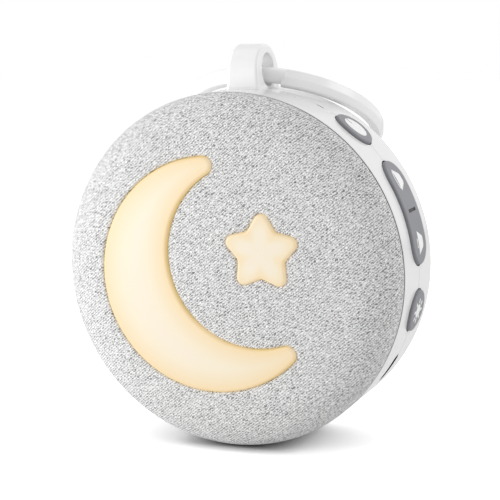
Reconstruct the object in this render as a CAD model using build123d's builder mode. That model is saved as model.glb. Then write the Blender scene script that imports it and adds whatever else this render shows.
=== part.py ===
from build123d import *
from math import atan2, cos, degrees, hypot, radians, sin, sqrt
import os

# White noise sound machine: a round puck that stands on its rim, cloth front to -Y, back to +Y.
# The origin is the middle of the foot pad's resting face, under the seam between the two housing halves.

# ---- driving dimensions, mm ----
# body
body_radius = 50.0  # rim of both housing halves
foot_drop = 0.6  # how far the foot pad lifts the rim
rim_front = 14.1  # seam to the cloth's edge
rim_back = 11.5  # seam to the start of the rear rounding
back_round = 5.5  # rear rounding
wall = 2.0  # moulded walls
wall_bite = 0.5  # how far joined features run into a wall
seam_bevel = 0.25  # small bevel each side of the seam
dish_radius = 33.0  # shallow dish in the back face
dish_depth = 0.5

# domed front
cap_depth = 9.0  # cloth edge to the middle of the front
crown_rise = 1.0  # how much of that is the gentle crown
edge_round = 16.0  # width of the dome's rounded edge
cloth_thickness = 0.9
cloth_groove = 0.35  # dark line between cloth and rim
cap_wall = 1.8
hole_radius = 1.4  # sound holes in the cap
hole_pitch = 4.6
hole_margin = 4.0
hole_rows = 6  # rows each side of the loudspeaker's middle

# glowing windows, places as seen from the front: x to the right, then up
moon_centre = (-3.0, 0.0)
moon_radius = 33.0
bite_shift = (13.0, 6.0)  # middle of the circle bitten out of the moon, from the moon's middle
bite_radius = 26.0
moon_tip_radius = 2.6
star_centre = (12.0, 7.0)
star_points = 5
star_reach = 12.5
star_waist = 7.0
star_tip_radius = 2.0
window_proud = 0.5  # windows stand out of the cloth
window_gap = 0.15  # window to the opening round it
window_edge = 0.8  # rounding of a window's front edge
window_flange = 1.4  # flange behind the cap
flange_back = 17.6  # depth of the flange's rear face, from the seam

# light tray and lamps
tray_wall = 1.2
tray_floor = 1.0
tray_spokes = 3  # arms that hold the star's tray in the moon's
lamp_board = 1.0
lamp_size = (3.5, 2.8, 0.8)
lamp_count = 9
lamp_step = 20.0  # degrees between lamps along the moon
star_lamp_reach = 3.8

# controls on the seam, clock angles seen from the front, 0 at the top
power_angle = 39.0
rocker_angle = 70.6
light_angle = 103.0
socket_angle = 124.5
status_angle = 25.7
key_width = 11.9
rocker_length = 30.0
key_proud = 0.9
key_gap = 0.35
key_depth = 4.0  # outer face to the underside of a key's cap
key_travel = 0.7
key_edge = 0.45  # rounding of a key's outer edge
rocker_mark = (0.9, 6.4, 0.3)  # groove across the rocker's middle: along the rim, across it, depth
key_flange = 0.9  # how far a round button's flange reaches past its opening
flange_thickness = 1.1
flange_clearance = 0.25
pip_radius = 1.5
rocker_pin_radius = 0.8
rocker_pin_depth = 3.4  # rim surface to the pin's axis
rocker_hub = 1.9
pin_play = 0.05
pin_overhang = 2.6
pin_boss = 3.0
boss_gap = 0.65  # key opening to the pin's bosses

# switches and board
switch_spread = 10.3  # degrees from the rocker's middle to each of its switches
switch_size = (6.0, 4.0)  # along the rim, along the radius
switch_inset = 11.5  # rim surface to the back of a switch
stem_length = 1.5
stem_radius = 1.0
board_thickness = 1.6
board_inset = 5.6  # rim surface to the board's outer edge
board_width = 13.4
board_start_angle = 30.5
board_end_angle = 136.0
chip_size = 5.0
chip_height = 1.0
chip_edge = 0.15
chip_inset = 3.0  # board's inner edge to the chip's middle

# USB-C socket and status light
socket_width = 8.94
socket_height = 3.16
socket_length = 7.35
socket_sheet = 0.3
socket_sunk = 0.2
socket_gap = 0.12
tongue_size = (6.7, 0.7, 4.5)
status_size = (2.4, 0.8)

# loudspeaker
speaker_centre = (0.0, 8.0)
speaker_opening = 19.0
collar_width = 3.5
collar_height = 2.5
gasket_thickness = 0.8
speaker_plate = 1.2
speaker_side = 43.0
speaker_corner = 5.4
speaker_screw_pitch = 37.0
basket_depth = 10.6
basket_back_radius = 13.0
basket_wall = 1.0
basket_spokes = 4
yoke_radius = 14.5
yoke_depth = 7.0
yoke_bore = 12.0
yoke_floor = 1.5
magnet_radius = 10.0
magnet_height = 4.0
coil_radius = 10.8
coil_wall = 0.6
coil_length = 6.0
cone_radius = 15.2
cone_depth = 7.0
cone_paper = 0.6
roll_gap = 0.3
roll_wall = 0.5
dust_cap_rise = 2.4

# battery
battery_size = (50.0, 23.0, 9.0)
battery_centre = (0.0, -21.0)
cradle_wall = 1.2
cradle_height = 5.0
battery_play = 0.3
battery_corner = 0.9
battery_edge = 0.6

# screws
post_angles = (20.0, 165.0, 195.0, 340.0)
post_ring = 40.0
post_radius = 4.2
screw_radius = 1.45
screw_play = 0.05
screw_head_radius = 2.7
screw_head_height = 2.0
screw_seat = 8.0  # seam to the seat under the screw's head
screw_bite = 8.0  # length in the front half
counterbore_radius = 3.1
small_screw_radius = 0.95
small_head_radius = 1.9
small_head_height = 1.4
small_screw_bite = 4.0
board_post_angles = (50.0, 88.0, 120.0)
board_post_radius = 2.4
board_post_inset = 16.2  # rim surface to a board post's middle

# feet
rear_foot_radius = 5.0
rear_foot_recess = 1.0
rear_foot_proud = 0.8
foot_play = 0.1
foot_pad_size = (16.0, 16.0)
foot_pad_corner = 4.0

# hanging lug and carry ring; places from the seam back, and from the rim up
lug_width = 8.5  # at the crown
lug_base_width = 10.7  # at the foot
lug_front = -4.1
eye_back = 4.5
eye_sill = 0.2  # material under the eye
eye_radius = 4.7
eye_edge = 0.35
lug_crown = 2.6  # material over the eye
lug_edge = 1.1
side_facing = 0.9  # how squarely a face looks sideways to count as one of the lug's sides
lug_stem = (6.0, 8.0)  # neck through the rim wall: across, front to back
lug_foot = (12.0, 11.0, 1.8)  # foot inside: across, front to back, thickness
lug_foot_shift = 3.0
lug_foot_corner = 0.5
lug_play = 0.1
ring_radius = 27.5
ring_rest_gap = 0.15  # the ring's sharp outline to the shoulder; its rounded corners add as much again
ring_lean_angle = 1.6  # the ring hangs a little lower on the right
ring_shift = 1.5  # and a little to the right
neck_radius = 2.25
neck_drop = 1.3  # eye's middle down to the neck's
neck_behind = 0.5  # eye's middle back to the neck's
neck_arc = 29.0
neck_lap_angle = 2.0  # the neck runs on into the thicker section
ring_top = 2.0
ring_bottom = 3.0
ring_half_top = 1.4
ring_half_bottom = 1.15
ring_outer_ridge = 1.85
ring_inner_ridge = 1.95
ring_ridge_drop = 0.8
ring_edge = 0.6
neck_blend = 0.5
ring_steps = 120  # places round the ring where its gap to the body is measured
tilt_search = (0.0, 60.0)  # degrees, from level to far too steep
tilt_halvings = 20

# stiffening
rib_width = 1.2
rib_height = 3.0
rib_count = 8
lip_width = 1.0
lip_height = 1.2
lip_play = 0.1
lip_side = 8.0

# ---- worked-out places ----
disc_centre = Vector(0, 0, foot_drop + body_radius)
front_plane = Plane(origin=disc_centre, x_dir=(1, 0, 0), z_dir=(0, -1, 0))  # offsets run forwards
section_plane = Plane(origin=disc_centre, x_dir=(0, 0, 1), z_dir=(1, 0, 0))  # x = radius, y = forwards
disc_axis = Axis(disc_centre, (0, -1, 0))
inner_radius = body_radius - wall
bulkhead_back = rim_front - wall
back_face = -(rim_back + back_round)
back_inside = back_face + wall
bite_centre = (moon_centre[0] + bite_shift[0], moon_centre[1] + bite_shift[1])
board_outer = body_radius - board_inset
board_inner = board_outer - board_width
board_front = -socket_height / 2
board_back = board_front - board_thickness
gasket_front = bulkhead_back - collar_height
plate_front = gasket_front - gasket_thickness
plate_back = plate_front - speaker_plate
basket_back = plate_back - basket_depth
tray_top = flange_back
key_radius = body_radius + key_proud
cap_underside = key_radius - key_depth
switch_top = body_radius - switch_inset + switch_size[1]
stem_top = switch_top + stem_length
pin_ring = body_radius - rocker_pin_depth
pin_half = key_width / 2 + key_gap + pin_overhang


def clock_vector(angle):
    """Unit vector from the disc's axis towards a clock angle seen from the front."""
    return Vector(sin(radians(angle)), 0, cos(radians(angle)))


def clock_point(angle, radius):
    """The same place as x and height on the front plane."""
    return (radius * sin(radians(angle)), radius * cos(radians(angle)))


def rim_plane(angle, radius):
    """Plane square to the radius at a clock angle: x along the rim, y to the back."""
    outward = clock_vector(angle)
    along = Vector(outward.Z, 0, -outward.X)
    return Plane(origin=disc_centre + outward * radius, x_dir=along, z_dir=outward)


def turned_band(inner, outer, back, front, mode=Mode.ADD):
    """A plain ring about the disc's axis between two radii and two depths."""
    with BuildSketch(section_plane) as band:
        with Locations(((inner + outer) / 2, (back + front) / 2)):
            Rectangle(outer - inner, front - back)
    revolve(band.sketch, axis=disc_axis, mode=mode)


def dome_sketch(inset, base):
    """Half section of the domed front, drawn in by inset from the cloth's face and closed at base."""
    shoulder = body_radius - edge_round
    round_width = edge_round - inset
    round_rise = cap_depth - crown_rise - inset
    with BuildSketch(section_plane) as half:
        with BuildLine():
            crown = Spline(
                (0, rim_front + cap_depth - inset),
                (shoulder, rim_front + round_rise),
                (shoulder + round_width * cos(radians(45)), rim_front + round_rise * sin(radians(45))),
                (body_radius - inset, rim_front),
                tangents=[(1, 0), (0, -1)],
            )
            Polyline(crown @ 1, (body_radius - inset, base), (0, base), crown @ 0)
        make_face()
    return half.sketch


def body_sketch(inset=0.0):
    """Half section of the whole white body, drawn in by inset, from the back face to the cloth's edge."""
    with BuildSketch(section_plane) as half:
        with BuildLine():
            Polyline(
                (0, back_face + inset),
                (body_radius - inset, back_face + inset),
                (body_radius - inset, rim_front),
                (0, rim_front),
                close=True,
            )
        make_face()
        corner = half.vertices().sort_by_distance((body_radius - inset, back_face + inset))[0]
        fillet(corner, back_round - inset)
    return half.sketch


def moon_sketch(depth, grow=0.0):
    """Crescent with rounded tips on a plane at the given depth, grown all round by grow."""
    with BuildSketch(front_plane.offset(depth)) as moon:
        with Locations(moon_centre):
            Circle(moon_radius + grow)
        with Locations(bite_centre):
            Circle(bite_radius - grow, mode=Mode.SUBTRACT)
        fillet(moon.vertices(), moon_tip_radius + grow)
    return moon.sketch


def star_sketch(depth, grow=0.0):
    """Star with rounded tips and waists on a plane at the given depth."""
    points = []
    for half_step in range(2 * star_points):
        reach = star_reach if half_step % 2 == 0 else star_waist
        x, height = clock_point(180.0 / star_points * half_step, reach)
        points.append((star_centre[0] + x, star_centre[1] + height))
    with BuildSketch(front_plane.offset(depth)) as star:
        with BuildLine():
            Polyline(*points, close=True)
        make_face()
        if grow > 0:
            offset(amount=grow, kind=Kind.INTERSECTION)
        fillet(star.vertices(), star_tip_radius)
    return star.sketch


def lamp_mid_radius(angle):
    """Distance from the moon's middle to the middle of its band, at an angle from the x axis."""
    along = bite_shift[0] * cos(radians(angle)) + bite_shift[1] * sin(radians(angle))
    across = hypot(*bite_shift) ** 2 - along**2
    inner = along + sqrt(bite_radius**2 - across)
    return (inner + moon_radius) / 2


def key_sketch(angle, radius, length, grow=0.0):
    """Outline of a control on the rim: a circle, or a stadium when it is longer than it is wide."""
    with BuildSketch(rim_plane(angle, radius)) as outline:
        if length > key_width:
            SlotOverall(length + 2 * grow, key_width + 2 * grow)
        else:
            Circle(key_width / 2 + grow)
    return outline.sketch


def cut_rim_openings():
    """Cuts the key, socket, status light and lug openings through the rim wall of the open part."""
    start = cap_underside - 2 * wall
    depth = key_depth + 4 * wall
    for angle, length in ((power_angle, key_width), (rocker_angle, rocker_length), (light_angle, key_width)):
        extrude(key_sketch(angle, start, length, key_gap), amount=depth, mode=Mode.SUBTRACT)
    with BuildSketch(rim_plane(socket_angle, start)) as mouth:
        SlotOverall(socket_width + 2 * socket_gap, socket_height + 2 * socket_gap)
    extrude(mouth.sketch, amount=depth, mode=Mode.SUBTRACT)
    with BuildSketch(rim_plane(status_angle, start)) as slit:
        SlotOverall(*status_size)
    extrude(slit.sketch, amount=depth, mode=Mode.SUBTRACT)
    with BuildSketch(rim_plane(0, start)) as lug_slot:
        with Locations((0, lug_foot_shift)):
            Rectangle(lug_stem[0] + 2 * lug_play, lug_stem[1] + 2 * lug_play)
    extrude(lug_slot.sketch, amount=depth, mode=Mode.SUBTRACT)


def pin_boss_block(side):
    """Block on the rim wall that holds one end of the rocker's pin; side is 1 at the back."""
    inside = key_width / 2 + key_gap + boss_gap
    with BuildSketch(rim_plane(rocker_angle, pin_ring - rocker_hub)) as block:
        with Locations((0, side * (inside + pin_boss / 2))):
            Rectangle(2 * pin_boss, pin_boss)
    extrude(block.sketch, amount=inner_radius - pin_ring + rocker_hub + wall_bite)


def pin_bore(radius, half_length, mode=Mode.SUBTRACT):
    """Round bar or bore along the rocker pin's axis, centred on the seam."""
    with BuildSketch(front_plane.offset(-half_length)) as bore:
        with Locations(clock_point(rocker_angle, pin_ring)):
            Circle(radius)
    extrude(bore.sketch, amount=2 * half_length, mode=mode)


def round_posts(points, radius, back, front, mode=Mode.ADD):
    """Round posts or holes of one radius at several places on the front plane."""
    with BuildSketch(front_plane.offset(back)) as ends:
        with Locations(*points):
            Circle(radius)
    extrude(ends.sketch, amount=front - back, mode=mode)


def finish_part(builder, name):
    """Labels a finished piece and writes it."""
    builder.part.label = name
    export_step(builder.part, f"parts/{name}.step")


os.makedirs("parts", exist_ok=True)
post_points = [clock_point(angle, post_ring) for angle in post_angles]
board_post_points = [clock_point(angle, body_radius - board_post_inset) for angle in board_post_angles]
speaker_screw_points = [
    (speaker_centre[0] + side * speaker_screw_pitch / 2, speaker_centre[1] + rise * speaker_screw_pitch / 2)
    for side in (-1, 1)
    for rise in (-1, 1)
]

# ---- cloth skin ----
with BuildPart() as fabric_cover:
    revolve(dome_sketch(0, rim_front - wall), axis=disc_axis)
    revolve(dome_sketch(cloth_thickness, rim_front - wall), axis=disc_axis, mode=Mode.SUBTRACT)
    turned_band(0, body_radius + wall, rim_front - 2 * wall, rim_front + cloth_groove, Mode.SUBTRACT)
    extrude(moon_sketch(rim_front, window_gap), amount=2 * cap_depth, mode=Mode.SUBTRACT)
    extrude(star_sketch(rim_front, window_gap), amount=2 * cap_depth, mode=Mode.SUBTRACT)
finish_part(fabric_cover, "fabric_cover")


# ---- perforated cap under the cloth ----
def hole_is_clear(x, height):
    """True where a hole misses both windows and lies over the loudspeaker."""
    in_bite = hypot(x - bite_centre[0], height - bite_centre[1]) < bite_radius - hole_margin
    off_star = hypot(x - star_centre[0], height - star_centre[1]) > star_reach + hole_margin / 2
    over_cone = hypot(x - speaker_centre[0], height - speaker_centre[1]) < speaker_opening + hole_margin
    return in_bite and off_star and over_cone


hole_points = []
for row in range(-hole_rows, hole_rows + 1):
    for column in range(-hole_rows, hole_rows + 1):
        x = speaker_centre[0] + hole_pitch * (column + (row % 2) / 2)
        height = speaker_centre[1] + hole_pitch * row * sqrt(3) / 2
        if hole_is_clear(x, height):
            hole_points.append((x, height))

with BuildPart() as front_grille:
    revolve(dome_sketch(cloth_thickness, rim_front - wall), axis=disc_axis)
    revolve(dome_sketch(cloth_thickness + cap_wall, rim_front - 2 * wall), axis=disc_axis, mode=Mode.SUBTRACT)
    turned_band(0, body_radius + wall, rim_front - 3 * wall, rim_front, Mode.SUBTRACT)
    extrude(moon_sketch(rim_front, window_gap), amount=2 * cap_depth, mode=Mode.SUBTRACT)
    extrude(star_sketch(rim_front, window_gap), amount=2 * cap_depth, mode=Mode.SUBTRACT)
    round_posts(hole_points, hole_radius, rim_front, rim_front + 2 * cap_depth, Mode.SUBTRACT)
finish_part(front_grille, "front_grille")


# ---- glowing windows ----
def build_window(outline):
    """Domed window with its retaining flange, from one of the window outlines."""
    extrude(outline(flange_back, window_flange), amount=2 * cap_depth)
    revolve(
        dome_sketch(cloth_thickness + cap_wall, rim_front - wall), axis=disc_axis, mode=Mode.INTERSECT
    )


with BuildPart() as moon_face:
    extrude(moon_sketch(flange_back), amount=2 * cap_depth)
    revolve(dome_sketch(-window_proud, rim_front - wall), axis=disc_axis, mode=Mode.INTERSECT)
    fillet(moon_face.faces().sort_by(Axis.Y)[0].edges(), window_edge)
with BuildPart() as moon_lens:
    build_window(moon_sketch)
    add(moon_face.part)
finish_part(moon_lens, "moon_lens")

with BuildPart() as star_face:
    extrude(star_sketch(flange_back), amount=2 * cap_depth)
    revolve(dome_sketch(-window_proud, rim_front - wall), axis=disc_axis, mode=Mode.INTERSECT)
    fillet(star_face.faces().sort_by(Axis.Y)[0].edges(), window_edge)
with BuildPart() as star_lens:
    build_window(star_sketch)
    add(star_face.part)
finish_part(star_lens, "star_lens")

# ---- light tray, lamp boards and lamps ----
with BuildPart() as light_tray:
    for outline in (moon_sketch, star_sketch):
        extrude(outline(rim_front, window_flange + tray_wall), amount=tray_top - rim_front)
    with BuildSketch(front_plane.offset(rim_front)) as spokes:
        with Locations(star_centre):
            with PolarLocations(0, tray_spokes, start_angle=90):
                Rectangle(moon_radius, 2 * tray_wall, align=(Align.MIN, Align.CENTER))
        with Locations(speaker_centre):
            Circle(speaker_opening + collar_width, mode=Mode.INTERSECT)
    extrude(amount=tray_floor)
    for outline in (moon_sketch, star_sketch):
        extrude(outline(rim_front + tray_floor, window_flange), amount=cap_depth, mode=Mode.SUBTRACT)
finish_part(light_tray, "light_tray")

with BuildPart() as moon_led_board:
    extrude(moon_sketch(rim_front + tray_floor, window_flange - window_gap), amount=lamp_board)
finish_part(moon_led_board, "moon_led_board")

with BuildPart() as star_led_board:
    extrude(star_sketch(rim_front + tray_floor, window_flange - window_gap), amount=lamp_board)
finish_part(star_led_board, "star_led_board")

lamp_points = []
thick_side = degrees(atan2(bite_shift[1], bite_shift[0])) + 180
for lamp in range(lamp_count):
    angle = thick_side + lamp_step * (lamp - (lamp_count - 1) / 2)
    reach = lamp_mid_radius(angle)
    lamp_points.append(
        (moon_centre[0] + reach * cos(radians(angle)), moon_centre[1] + reach * sin(radians(angle)))
    )
for side in (-1, 1):
    lamp_points.append((star_centre[0] + side * star_lamp_reach, star_centre[1]))

with BuildPart() as leds:
    with BuildSketch(front_plane.offset(rim_front + tray_floor + lamp_board)):
        with Locations(*lamp_points):
            Rectangle(lamp_size[0], lamp_size[1])
    extrude(amount=lamp_size[2])
finish_part(leds, "leds")

# ---- front housing: rim, bulkhead, speaker collar, posts and ribs ----
with BuildPart() as front_housing:
    with BuildSketch(section_plane) as front_half:
        with BuildLine():
            Polyline(
                (inner_radius, 0),
                (body_radius, 0),
                (body_radius, rim_front),
                (0, rim_front),
                (0, bulkhead_back),
                (inner_radius, bulkhead_back),
                close=True,
            )
        make_face()
        chamfer(front_half.vertices().group_by(Axis.X)[-1], length=seam_bevel)
    revolve(axis=disc_axis)
    with BuildSketch(front_plane.offset(bulkhead_back - rib_height)):
        with PolarLocations(0, rib_count, start_angle=180 / rib_count):
            Rectangle(inner_radius + wall_bite, rib_width, align=(Align.MIN, Align.CENTER))
        with Locations(speaker_centre):
            Circle(speaker_opening + collar_width - rib_width, mode=Mode.SUBTRACT)
            Rectangle(speaker_side + rib_width, speaker_side + rib_width, mode=Mode.SUBTRACT)
    extrude(amount=rib_height)
    round_posts([speaker_centre], speaker_opening + collar_width, gasket_front, bulkhead_back)
    round_posts(speaker_screw_points, board_post_radius, plate_front, bulkhead_back)
    round_posts(post_points, post_radius, 0, bulkhead_back)
    round_posts([speaker_centre], speaker_opening, gasket_front - wall, rim_front, Mode.SUBTRACT)
    round_posts(
        speaker_screw_points,
        small_screw_radius + screw_play,
        plate_front,
        plate_front + small_screw_bite + screw_play,
        Mode.SUBTRACT,
    )
    round_posts(post_points, screw_radius + screw_play, 0, screw_bite + wall / 2, Mode.SUBTRACT)
    with BuildSketch(front_plane) as lip:
        Circle(inner_radius - lip_play)
        Circle(inner_radius - lip_play - lip_width, mode=Mode.SUBTRACT)
        with Locations((-lip_side - body_radius, 0)):
            Rectangle(2 * body_radius, 2 * body_radius, mode=Mode.INTERSECT)
    extrude(lip.sketch, amount=-lip_height)
    with BuildSketch(front_plane) as lip_root:
        Circle(inner_radius + wall_bite)
        Circle(inner_radius - lip_play - lip_width, mode=Mode.SUBTRACT)
        with Locations((-lip_side - body_radius, 0)):
            Rectangle(2 * body_radius, 2 * body_radius, mode=Mode.INTERSECT)
    extrude(lip_root.sketch, amount=lip_height)
    pin_boss_block(-1)
    cut_rim_openings()
    pin_bore(rocker_pin_radius + pin_play, pin_half)
finish_part(front_housing, "front_housing")

# ---- rear housing: rounded shell, posts, board posts and battery cradle ----
with BuildPart() as rear_housing:
    revolve(body_sketch(), axis=disc_axis)
    revolve(body_sketch(wall), axis=disc_axis, mode=Mode.SUBTRACT)
    turned_band(0, body_radius + wall, 0, rim_front + wall, Mode.SUBTRACT)
    chamfer(
        rear_housing.edges().filter_by(GeomType.CIRCLE).group_by(Axis.Y)[0].sort_by(SortBy.RADIUS)[-1:],
        length=seam_bevel,
    )
    turned_band(0, dish_radius, back_face - wall, back_face + dish_depth, Mode.SUBTRACT)
    round_posts(post_points, post_radius, back_inside - wall_bite, 0)
    round_posts(board_post_points, board_post_radius, back_inside - wall_bite, board_back)
    with BuildSketch(front_plane.offset(back_inside - wall_bite)):
        with Locations(battery_centre):
            Rectangle(
                battery_size[0] + 2 * (battery_play + cradle_wall),
                battery_size[1] + 2 * (battery_play + cradle_wall),
            )
            Rectangle(
                battery_size[0] + 2 * battery_play, battery_size[1] + 2 * battery_play, mode=Mode.SUBTRACT
            )
            Rectangle(battery_size[0] - 2 * cradle_height, 2 * battery_size[1], mode=Mode.SUBTRACT)
    extrude(amount=cradle_height + wall_bite)
    round_posts(post_points, screw_radius + 4 * screw_play, -screw_seat - wall, 0, Mode.SUBTRACT)
    round_posts(post_points, counterbore_radius, back_face - wall, -screw_seat, Mode.SUBTRACT)
    recess_floor = back_face + rear_foot_recess
    round_posts(post_points, rear_foot_radius + foot_play, back_face - wall, recess_floor, Mode.SUBTRACT)
    bore_end = board_back - small_screw_bite
    round_posts(board_post_points, small_screw_radius + screw_play, bore_end, board_back, Mode.SUBTRACT)
    pin_boss_block(1)
    cut_rim_openings()
    pin_bore(rocker_pin_radius + pin_play, pin_half)
finish_part(rear_housing, "rear_housing")

# ---- housing screws and rear feet ----
with BuildPart() as housing_screws:
    round_posts(post_points, screw_head_radius, -screw_seat - screw_head_height, -screw_seat)
    round_posts(post_points, screw_radius, -screw_seat, screw_bite)
finish_part(housing_screws, "housing_screws")

with BuildPart() as rear_feet:
    round_posts(post_points, rear_foot_radius, back_face - rear_foot_proud, back_face + rear_foot_recess)
    chamfer(
        rear_feet.edges().filter_by(GeomType.CIRCLE).group_by(Axis.Y)[-1], length=rear_foot_proud / 2
    )
finish_part(rear_feet, "rear_feet")

# ---- foot pad under the rim ----
with BuildPart() as foot_pad:
    with BuildSketch(Plane.XY):
        RectangleRounded(*foot_pad_size, foot_pad_corner)
    extrude(amount=foot_drop + wall)
    revolve(body_sketch(), axis=disc_axis, mode=Mode.SUBTRACT)
finish_part(foot_pad, "foot_pad")


# ---- controls ----
def build_key(angle, length):
    """Cap of a control: its outline cut to the curve of the rim, with a softened outer edge."""
    with BuildPart(mode=Mode.PRIVATE) as cap:
        extrude(key_sketch(angle, cap_underside - wall, length), amount=key_depth + 2 * wall)
        turned_band(cap_underside, key_radius, -key_width, key_width, Mode.INTERSECT)
        outer_face = cap.faces().sort_by(Axis(disc_centre, clock_vector(angle)))[-1]
        fillet(outer_face.edges(), key_edge)
    add(cap.part)


def add_pip(angle, end_radius):
    """Pip under a key that presses its switch."""
    with BuildSketch(rim_plane(angle, end_radius)) as pip:
        Circle(pip_radius)
    extrude(pip.sketch, amount=cap_underside - end_radius + flange_thickness)


def add_key_flange(angle):
    """Round flange behind the rim wall that keeps a button in."""
    flange_top = inner_radius - flange_clearance
    with BuildPart(mode=Mode.PRIVATE) as flange:
        extrude(
            key_sketch(angle, cap_underside - 2 * wall, key_width, key_gap + key_flange), amount=4 * wall
        )
        turned_band(flange_top - flange_thickness, flange_top, -key_width, key_width, Mode.INTERSECT)
    add(flange.part)


with BuildPart() as power_button:
    build_key(power_angle, key_width)
    add_key_flange(power_angle)
    add_pip(power_angle, stem_top + key_travel + key_gap / 2)
finish_part(power_button, "power_button")

with BuildPart() as light_button:
    build_key(light_angle, key_width)
    add_key_flange(light_angle)
    add_pip(light_angle, stem_top + key_travel + key_gap / 2)
finish_part(light_button, "light_button")

with BuildPart() as volume_rocker:
    build_key(rocker_angle, rocker_length)
    pin_bore(rocker_hub, key_width / 2 - key_gap, Mode.ADD)
    for side in (-1, 1):
        add_pip(rocker_angle + side * switch_spread, stem_top + key_travel)
    pin_bore(rocker_pin_radius + pin_play, pin_half)
    with BuildSketch(rim_plane(rocker_angle, key_radius - rocker_mark[2])) as mark:
        Rectangle(rocker_mark[0], rocker_mark[1])
    extrude(mark.sketch, amount=wall, mode=Mode.SUBTRACT)
finish_part(volume_rocker, "volume_rocker")

with BuildPart() as rocker_pin:
    pin_bore(rocker_pin_radius, pin_half - pin_play, Mode.ADD)
finish_part(rocker_pin, "rocker_pin")

# ---- main board, chip, switches, socket and status light ----
with BuildPart() as main_board:
    with BuildSketch(front_plane.offset(board_back)) as board_outline:
        with BuildLine():
            start_angle = 90 - board_end_angle
            sweep_angle = board_end_angle - board_start_angle
            outer_edge = CenterArc((0, 0), board_outer, start_angle, sweep_angle)
            inner_edge = CenterArc((0, 0), board_inner, start_angle, sweep_angle)
            Line(outer_edge @ 0, inner_edge @ 0)
            Line(outer_edge @ 1, inner_edge @ 1)
        make_face()
        fillet(board_outline.vertices(), board_thickness)
        with Locations(*board_post_points):
            Circle(small_screw_radius + 2 * screw_play, mode=Mode.SUBTRACT)
    extrude(amount=board_thickness)
finish_part(main_board, "main_board")

with BuildPart() as main_chip:
    chip_middle = disc_centre + clock_vector(rocker_angle) * (board_inner + chip_inset)
    chip_place = Plane(
        origin=chip_middle + Vector(0, -board_front, 0), x_dir=clock_vector(rocker_angle), z_dir=(0, -1, 0)
    )
    with BuildSketch(chip_place):
        Rectangle(chip_size, chip_size)
    extrude(amount=chip_height)
    chamfer(main_chip.edges().group_by(Axis.Y)[0], length=chip_edge)
finish_part(main_chip, "main_chip")

switch_angles = (power_angle, rocker_angle - switch_spread, rocker_angle + switch_spread, light_angle)
with BuildPart() as tact_switches:
    for angle in switch_angles:
        with BuildSketch(rim_plane(angle, switch_top - switch_size[1])) as body:
            Rectangle(switch_size[0], socket_height)
        extrude(body.sketch, amount=switch_size[1])
        with BuildSketch(rim_plane(angle, switch_top)) as stem:
            Circle(stem_radius)
        extrude(stem.sketch, amount=stem_length)
finish_part(tact_switches, "tact_switches")

with BuildPart() as board_screws:
    round_posts(board_post_points, small_head_radius, board_front, board_front + small_head_height)
    round_posts(board_post_points, small_screw_radius, bore_end + screw_play, board_front)
finish_part(board_screws, "board_screws")

socket_mouth = body_radius - socket_sunk
socket_back = socket_mouth - socket_length
with BuildPart() as usb_c_shell:
    with BuildSketch(rim_plane(socket_angle, socket_back)) as shell_outline:
        SlotOverall(socket_width, socket_height)
    extrude(shell_outline.sketch, amount=socket_length)
    with BuildSketch(rim_plane(socket_angle, socket_back + 3 * socket_sheet)) as shell_bore:
        SlotOverall(socket_width - 2 * socket_sheet, socket_height - 2 * socket_sheet)
    extrude(shell_bore.sketch, amount=socket_length, mode=Mode.SUBTRACT)
finish_part(usb_c_shell, "usb_c_shell")

with BuildPart() as usb_c_tongue:
    with BuildSketch(rim_plane(socket_angle, socket_back + 3 * socket_sheet)) as tongue_outline:
        Rectangle(tongue_size[0], tongue_size[1])
    extrude(tongue_outline.sketch, amount=tongue_size[2])
    fillet(usb_c_tongue.edges().filter_by(Axis.Y), tongue_size[1] / 2)
finish_part(usb_c_tongue, "usb_c_tongue")

with BuildPart() as status_lens:
    with BuildSketch(rim_plane(status_angle, inner_radius - wall)) as slit:
        SlotOverall(status_size[0] - foot_play, status_size[1] - foot_play)
    extrude(slit.sketch, amount=3 * wall)
    turned_band(inner_radius, body_radius - seam_bevel, -wall, wall, Mode.INTERSECT)
finish_part(status_lens, "status_lens")

# ---- loudspeaker ----
speaker_axis = Axis(
    disc_centre + Vector(speaker_centre[0], 0, speaker_centre[1]),
    (0, -1, 0),
)
speaker_section = Plane(origin=speaker_axis.position, x_dir=(0, 0, 1), z_dir=(1, 0, 0))


def speaker_turned(*points, mode=Mode.ADD):
    """Revolves an outline of (radius, depth) points about the loudspeaker's axis."""
    with BuildSketch(speaker_section) as half:
        with BuildLine():
            Polyline(*points, close=True)
        make_face()
    revolve(half.sketch, axis=speaker_axis, mode=mode)


with BuildPart() as speaker_gasket:
    round_posts([speaker_centre], speaker_opening + collar_width - rib_width, plate_front, gasket_front)
    round_posts([speaker_centre], speaker_opening, plate_front, gasket_front, Mode.SUBTRACT)
finish_part(speaker_gasket, "speaker_gasket")

rim_of_basket = speaker_opening - basket_wall
with BuildPart() as speaker_frame:
    with BuildSketch(front_plane.offset(plate_back)):
        with Locations(speaker_centre):
            RectangleRounded(speaker_side, speaker_side, speaker_corner)
            Circle(rim_of_basket - basket_wall, mode=Mode.SUBTRACT)
        with Locations(*speaker_screw_points):
            Circle(small_screw_radius + 2 * screw_play, mode=Mode.SUBTRACT)
    extrude(amount=speaker_plate)
    speaker_turned(
        (rim_of_basket - basket_wall, plate_back),
        (rim_of_basket, plate_back),
        (basket_back_radius + basket_wall, basket_back),
        (basket_back_radius, basket_back),
    )
    with BuildSketch(front_plane.offset(basket_back + basket_wall)) as basket_windows:
        with Locations(speaker_centre):
            with PolarLocations(0, basket_spokes, start_angle=180 / basket_spokes):
                Rectangle(2 * speaker_opening, yoke_bore, align=(Align.MIN, Align.CENTER))
    extrude(basket_windows.sketch, amount=basket_depth - 3 * basket_wall, mode=Mode.SUBTRACT)
finish_part(speaker_frame, "speaker_frame")

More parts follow.
